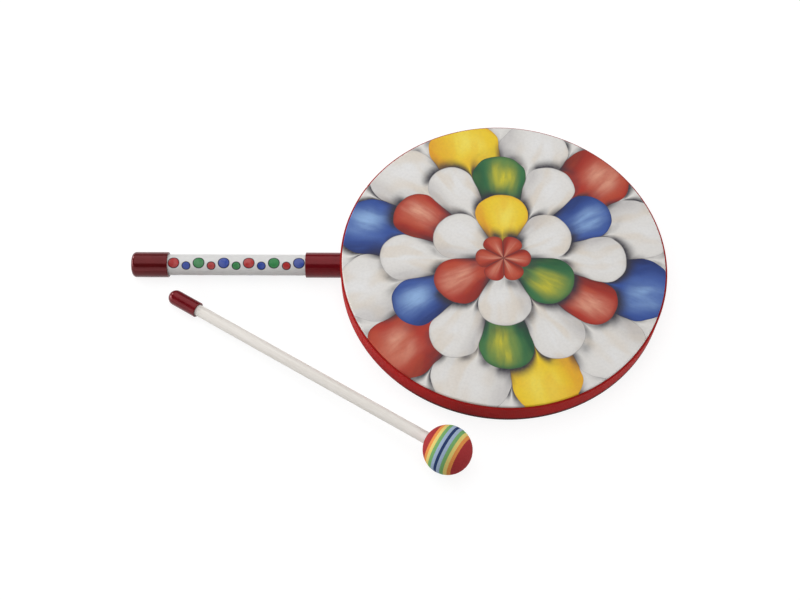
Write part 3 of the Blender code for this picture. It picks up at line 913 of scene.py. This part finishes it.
def make_shell():
    """Fibre hoop, with its bearing edge, the rebate for the film, its slanted joint and the screw's
    hole."""
    size = extent("shell", DRUM_AXIS)
    film = extent("drumhead", DRUM_AXIS)
    rebate = film.outer - FILM_THICKNESS - FIT_GAP
    rebate_floor = film.low - FIT_GAP
    edge = FILM_ROLL - FILM_THICKNESS
    corners = [
        (size.inner, size.high - BEARING_BEVEL, SHELL_EDGE),
        (size.inner, size.low, SHELL_EDGE),
        (size.outer, size.low, SHELL_EDGE),
        (size.outer, rebate_floor, 0),
        (rebate, rebate_floor, 0),
        (rebate, size.high, edge),
        (rebate - edge - BEARING_FLAT, size.high, SHELL_EDGE),
    ]

    def seam(r, z, angle):
        if r >= rebate - edge:
            return r, z
        return r + groove(angle, SHELL_SEAM_ANGLE + z / r, SHELL_SEAM_WIDTH, SHELL_SEAM_DEPTH, r), z

    slant = size.high / size.inner
    angles = angles_round(DRUM_STEPS, SHELL_SEAM_ANGLE + slant / 2, 2 * slant)
    shape = turned(filled(rounded(corners), RIM_STRETCH), angles, seam)
    made = piece("shell_hoop", shape, DRUM_AXIS, fibre_board())
    drill(made, "shell")
    stands_for(made, "shell", "drum")


def make_sleeve():
    """Printed film round the handle, lapped on itself along its underside."""
    size = extent("handle_sleeve", HANDLE_AXIS)
    middle = (size.inner + size.outer) / 2
    profile = [
        (size.outer, size.high),
        (size.outer, size.low),
        (size.inner, size.low),
        (size.inner, size.high),
    ]

    def lap(r, z, angle):
        past_seam = (angle - SLEEVE_SEAM_ANGLE) % math.tau * r
        if r < middle or past_seam <= SLEEVE_SEAM_LAP:
            return r, z
        return r - SLEEVE_SEAM_STEP, z

    angles = angles_round(HANDLE_STEPS, SLEEVE_SEAM_ANGLE, SLEEVE_SEAM_LAP / size.outer)
    shape = turned(filled(profile, SLEEVE_STRETCH), angles, lap)
    made = piece("handle_wrap", shape, HANDLE_AXIS, printed_film())
    stands_for(made, "handle_sleeve", "drum")


def uneven(r, z, angle):
    """Slow ripple that dipping leaves in vinyl."""
    return r - VINYL_RIPPLE * (1 + ripple(r, z, angle, VINYL_RIPPLE_SIZE)), z


def make_end_cap(material):
    """Vinyl cap on the end of the handle, with a round corner and a low crown."""
    size = extent("handle_end_cap", HANDLE_AXIS)
    inner = size.outer - HANDLE_VINYL_WALL
    corner_start = math.pi / 2 - CAP_CROWN_SLOPE
    crown_edge = size.outer - CAP_CORNER + CAP_CORNER * math.cos(corner_start)
    crown_radius = crown_edge / math.sin(CAP_CROWN_SLOPE)
    crown = arc((0.0, size.high - crown_radius), crown_radius, math.pi / 2, corner_start)
    corner_height = crown[-1][1] - CAP_CORNER * math.sin(corner_start)
    corner = arc((size.outer - CAP_CORNER, corner_height), CAP_CORNER, corner_start, 0.0)
    mouth = [
        (size.outer, corner_height, 0),
        (size.outer, size.low, VINYL_LIP),
        (inner, size.low, VINYL_INNER_LIP),
        (inner, size.high - CAP_END_WALL, CAP_CORNER - HANDLE_VINYL_WALL),
        (0.0, size.high - CAP_END_WALL, 0),
    ]
    profile = [(0.0, size.high), *crown[1:], *corner[1:-1], *rounded(mouth)]
    shape = turned(filled(profile, VINYL_STRETCH), angles_round(HANDLE_STEPS), uneven)
    made = piece("handle_cap", shape, HANDLE_AXIS, material)
    stands_for(made, "handle_end_cap", "drum")


def make_ferrule(material):
    """Vinyl sleeve at the rim, cut to follow the rim's curve."""
    size = extent("handle_ferrule", HANDLE_AXIS)
    corners = [
        (size.inner, size.high, VINYL_INNER_LIP),
        (size.outer, size.high, VINYL_LIP),
        (size.outer, size.low, 0),
        (size.inner, size.low, 0),
    ]

    def saddle(r, z, angle):
        sideways = r * math.sin(angle)
        rim_fall = DRUM_RADIUS - math.sqrt(DRUM_RADIUS**2 - sideways**2)
        back = rim_fall + size.low - FERRULE_TO_RIM
        share = max(0.0, 1.0 - (z - size.low) / FERRULE_SADDLE)
        return uneven(r, z - back * share, angle)

    shape = turned(filled(rounded(corners), VINYL_STRETCH), angles_round(HANDLE_STEPS), saddle)
    made = piece("handle_collar", shape, HANDLE_AXIS, material)
    stands_for(made, "handle_ferrule", "drum")


def recess_shape(top):
    """A cross-shaped driver bit that narrows into the screw's head."""
    arm = RECESS_ACROSS / 2
    side = RECESS_WIDTH / 2
    quarter = [(arm, -side), (arm, side), (side, side)]
    turns = [(1, 0), (0, 1), (-1, 0), (0, -1)]
    outline = [Vector((c * x - s * y, s * x + c * y)) for c, s in turns for x, y in quarter]
    shape = bmesh.new()
    wide = [shape.verts.new((*point, top - RECESS_DEPTH)) for point in outline]
    deep = [shape.verts.new((*(point * RECESS_TAPER), top + RECESS_DEPTH)) for point in outline]
    shape.faces.new(wide)
    shape.faces.new(deep)
    skin(shape, wide, deep)
    face_outwards(shape)
    return shape


def make_screw(material):
    """Pan-head wood screw from inside the shell into the handle, with its thread and its recess."""
    size = extent("handle_screw", HANDLE_AXIS)
    seat = size.low + SCREW_HEAD_DOME + SCREW_HEAD_EDGE
    shank = extent("screw_washer", HANDLE_AXIS).inner - FIT_GAP
    dome_radius = (size.outer**2 + SCREW_HEAD_DOME**2) / (2 * SCREW_HEAD_DOME)
    dome_half = math.asin(size.outer / dome_radius)
    dome = arc((0.0, size.low + dome_radius), dome_radius, dome_half - math.pi / 2, -math.pi / 2)
    body = [(SCREW_TIP_RADIUS, size.high), (shank, size.high - SCREW_POINT), (shank, seat)]
    body = filled(body, SCREW_THREAD_PITCH / THREAD_STEPS)
    profile = [(0.0, size.high), *body, (size.outer, seat), *dome[:-1], (0.0, size.low)]

    def thread(r, z, angle):
        along = z - seat - SCREW_PLAIN_SHANK
        if along < 0:
            return r, z
        turns = z / SCREW_THREAD_PITCH - angle / math.tau
        crest = abs(turns % 1.0 - 0.5) * 2
        fade = min(1.0, along / SCREW_THREAD_PITCH)
        cut = SCREW_THREAD_DEPTH * fade * (1 - crest) * r / shank
        return max(r * SCREW_CORE_SHARE, r - cut), z

    shape = turned(profile, angles_round(SCREW_STEPS), thread)
    made = piece("handle_wood_screw", shape, HANDLE_AXIS, material)
    cut_out(made, piece("recess", recess_shape(size.low), HANDLE_AXIS, material))
    stands_for(made, "handle_screw", "drum")


def make_washer(material):
    """Flat washer between the screw's head and the shell."""
    size = extent("screw_washer", HANDLE_AXIS)
    corners = [
        (size.outer, size.high, WASHER_EDGE),
        (size.outer, size.low, WASHER_EDGE),
        (size.inner, size.low, WASHER_EDGE),
        (size.inner, size.high, WASHER_EDGE),
    ]
    shape = turned(rounded(corners), angles_round(SCREW_STEPS))
    made = piece("flat_washer", shape, HANDLE_AXIS, material)
    stands_for(made, "screw_washer", "drum")


def make_shaft():
    """Painted shaft of the mallet, with a round grip end."""
    size = extent("mallet_shaft", MALLET_AXIS)
    corners = [
        (0.0, size.low, 0),
        (size.outer, size.low, SHAFT_EDGE),
        (size.outer, size.high - size.outer, 0),
    ]
    tip = arc((0.0, size.high - size.outer), size.outer, 0.0, math.pi / 2)
    profile = [*rounded(corners), *tip[1:-1], (0.0, size.high)]
    shape = turned(filled(profile, SHAFT_STRETCH), angles_round(HANDLE_STEPS))
    made = piece("mallet_stick", shape, MALLET_AXIS, wood("white_paint", MALLET_AXIS, PAINTED_WOOD))
    stands_for(made, "mallet_shaft", "mallet")


def make_mallet_cap(material):
    """Vinyl cap with a domed end, on the grip end of the shaft."""
    size = extent("mallet_end_cap", MALLET_AXIS)
    inner = size.outer - MALLET_VINYL_WALL
    dome_start = size.high - size.outer
    mouth = [
        (size.outer, dome_start, 0),
        (size.outer, size.low, MALLET_LIP),
        (inner, size.low, VINYL_INNER_LIP),
        (inner, dome_start, 0),
    ]
    outside = arc((0.0, dome_start), size.outer, math.pi / 2, 0.0)
    inside = arc((0.0, dome_start), inner, 0.0, math.pi / 2)
    outer_profile = [(0.0, size.high), *outside[1:-1]]
    inner_profile = [*inside[1:-1], (0.0, dome_start + inner)]
    profile = [*outer_profile, *rounded(mouth), *inner_profile]
    shape = turned(filled(profile, VINYL_STRETCH), angles_round(HANDLE_STEPS), uneven)
    made = piece("mallet_cap", shape, MALLET_AXIS, material)
    stands_for(made, "mallet_end_cap", "mallet")


def foam_profile(low, high, ball_radius, bore, bore_end):
    """One foam sheet between two faces of the ball, with the shaft's hole as far as it goes."""
    start = math.asin(high / ball_radius)
    end = math.asin(low / ball_radius)
    outside = filled(arc((0.0, 0.0), ball_radius, start, end), FOAM_STRETCH)
    if low >= bore_end:
        return [(bore, high), *outside, (bore, low)]
    top = [(0.0, bore_end), (bore, bore_end), (bore, high)] if high > bore_end else [(0.0, high)]
    if low <= -ball_radius:
        outside.pop()
    return [*top, *outside, (0.0, low)]


def make_ball():
    """Foam sheets of many colours in a stack, ground to a ball, with a fine line at each joint."""
    sizes = {name: extent(name, MALLET_AXIS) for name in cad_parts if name.startswith("ball_")}
    bottom = min(size.low for size in sizes.values())
    mouth = max(size.high for size in sizes.values())
    ball_radius = -bottom
    bore = sizes["ball_navy_core"].inner
    bore_end = extent("mallet_shaft", MALLET_AXIS).low - FIT_GAP
    materials = {colour: foam(colour) for colour in FOAM}
    for name, size in sorted(sizes.items()):
        colour = name.split("_")[1]
        low = max(size.low - GLUE_HALF, bottom)
        high = min(size.high + GLUE_HALF, mouth)
        joints = [face for face in (low, high) if bottom < face < mouth]

        def ground(r, z, angle, joints=joints):
            if r <= bore:
                return r, z
            to_joint = min(abs(z - face) for face in joints)
            line = GROOVE_DEPTH * max(0.0, 1.0 - to_joint / GROOVE_WIDTH)
            grain = FOAM_RIPPLE * (1 + ripple(r, z, angle, FOAM_RIPPLE_SIZE))
            return r * (1 - (line + grain) / ball_radius), z

        profile = foam_profile(low, high, ball_radius, bore, bore_end)
        shape = turned(profile, angles_round(BALL_STEPS), ground)
        made = piece(name.replace("ball_", "foam_"), shape, MALLET_AXIS, materials[colour])
        stands_for(made, name, "mallet")


def finish_dowel():
    """The dowel inside the handle stays as it is, in bare birch."""
    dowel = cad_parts["handle_dowel"]
    dowel.data.materials.clear()
    dowel.data.materials.append(wood("birch", HANDLE_AXIS, BARE_BIRCH))


def make_floor():
    """Pale floor that curves up far away all round. The camera and reflections see it as white,
    with the object's shadow."""
    cove = arc((FLOOR_RADIUS, COVE_RADIUS), COVE_RADIUS, -math.pi / 2, 0.0)
    shape = turned([(0.0, 0.0), *cove], angles_round(FLOOR_STEPS))
    graph = Graph("floor")
    _, x, y, _ = graph.place()
    paths = graph.add("ShaderNodeLightPath").outputs
    seen = graph.math("MAXIMUM", paths["Is Camera Ray"], paths["Is Glossy Ray"])
    seen = graph.math("MAXIMUM", seen, paths["Is Transmission Ray"])
    plain = graph.add("ShaderNodeBsdfDiffuse", {"Color": FLOOR_BOUNCE}).outputs[0]
    matt = graph.add("ShaderNodeBsdfDiffuse", {"Color": FLOOR_SHOWN}).outputs[0]
    strength = graph.ease(graph.radius(x, y), FLOOR_GLOW)
    glow = graph.add("ShaderNodeEmission", {"Strength": strength}).outputs[0]
    white = graph.add("ShaderNodeAddShader", {0: matt, 1: glow}).outputs[0]
    both = graph.add("ShaderNodeMixShader", {"Fac": seen, 1: plain, 2: white}).outputs[0]
    graph.feed(graph.tree.nodes["Material Output"].inputs["Surface"], both)
    graph.tree.nodes.remove(graph.shader)
    piece("floor", shape, Matrix.Identity(4), graph.material)


def make_light():
    """A large soft box above, a low one on each side, a pale card, a small lamp and a dim room."""
    world = bpy.data.worlds.new("studio")
    bpy.context.scene.world = world
    world.use_nodes = True
    background = world.node_tree.nodes["Background"]
    background.inputs["Color"].default_value = WHITE
    background.inputs["Strength"].default_value = WORLD_STRENGTH
    for lamp in LAMPS:
        light = bpy.data.lights.new(lamp.name, "AREA")
        light.shape = "RECTANGLE"
        light.size = lamp.width
        light.size_y = lamp.height
        light.energy = lamp.watts
        made = bpy.data.objects.new(lamp.name, light)
        bpy.context.scene.collection.objects.link(made)
        made.location = lamp.place
        made.rotation_mode = "QUATERNION"
        facing = Vector(lamp.place).to_track_quat("Z", "Y")
        made.rotation_quaternion = facing @ Quaternion(UP, lamp.spin)


def make_camera():
    """The photograph's camera: its direction, distance and lens."""
    flat = math.cos(CAMERA_ELEVATION)
    sideways = math.sin(CAMERA_AZIMUTH) * flat
    forwards = math.cos(CAMERA_AZIMUTH) * flat
    back = Vector((sideways, -forwards, math.sin(CAMERA_ELEVATION)))
    level = UP.cross(back).normalized()
    upright = back.cross(level)
    right = level * math.cos(CAMERA_ROLL) + upright * math.sin(CAMERA_ROLL)
    up = upright * math.cos(CAMERA_ROLL) - level * math.sin(CAMERA_ROLL)
    data = bpy.data.cameras.new("camera")
    data.sensor_width = SENSOR_WIDTH_MM
    data.lens = LENS_MM
    camera = bpy.data.objects.new("camera", data)
    bpy.context.scene.collection.objects.link(camera)
    turn = Matrix((right, up, back)).transposed().to_4x4()
    camera.matrix_world = Matrix.Translation(CAMERA_AIM + back * CAMERA_DISTANCE) @ turn
    bpy.context.scene.camera = camera


def main():
    red_vinyl = vinyl("red_vinyl", VINYL_RED)
    make_film()
    make_tape()
    make_shell()
    make_sleeve()
    make_end_cap(vinyl("maroon_vinyl", VINYL_MAROON))
    make_ferrule(red_vinyl)
    zinc = steel()
    make_screw(zinc)
    make_washer(zinc)
    make_shaft()
    make_mallet_cap(red_vinyl)
    make_ball()
    finish_dowel()
    make_floor()
    make_light()
    make_camera()
    bpy.context.scene.view_settings.view_transform = "Standard"


main()
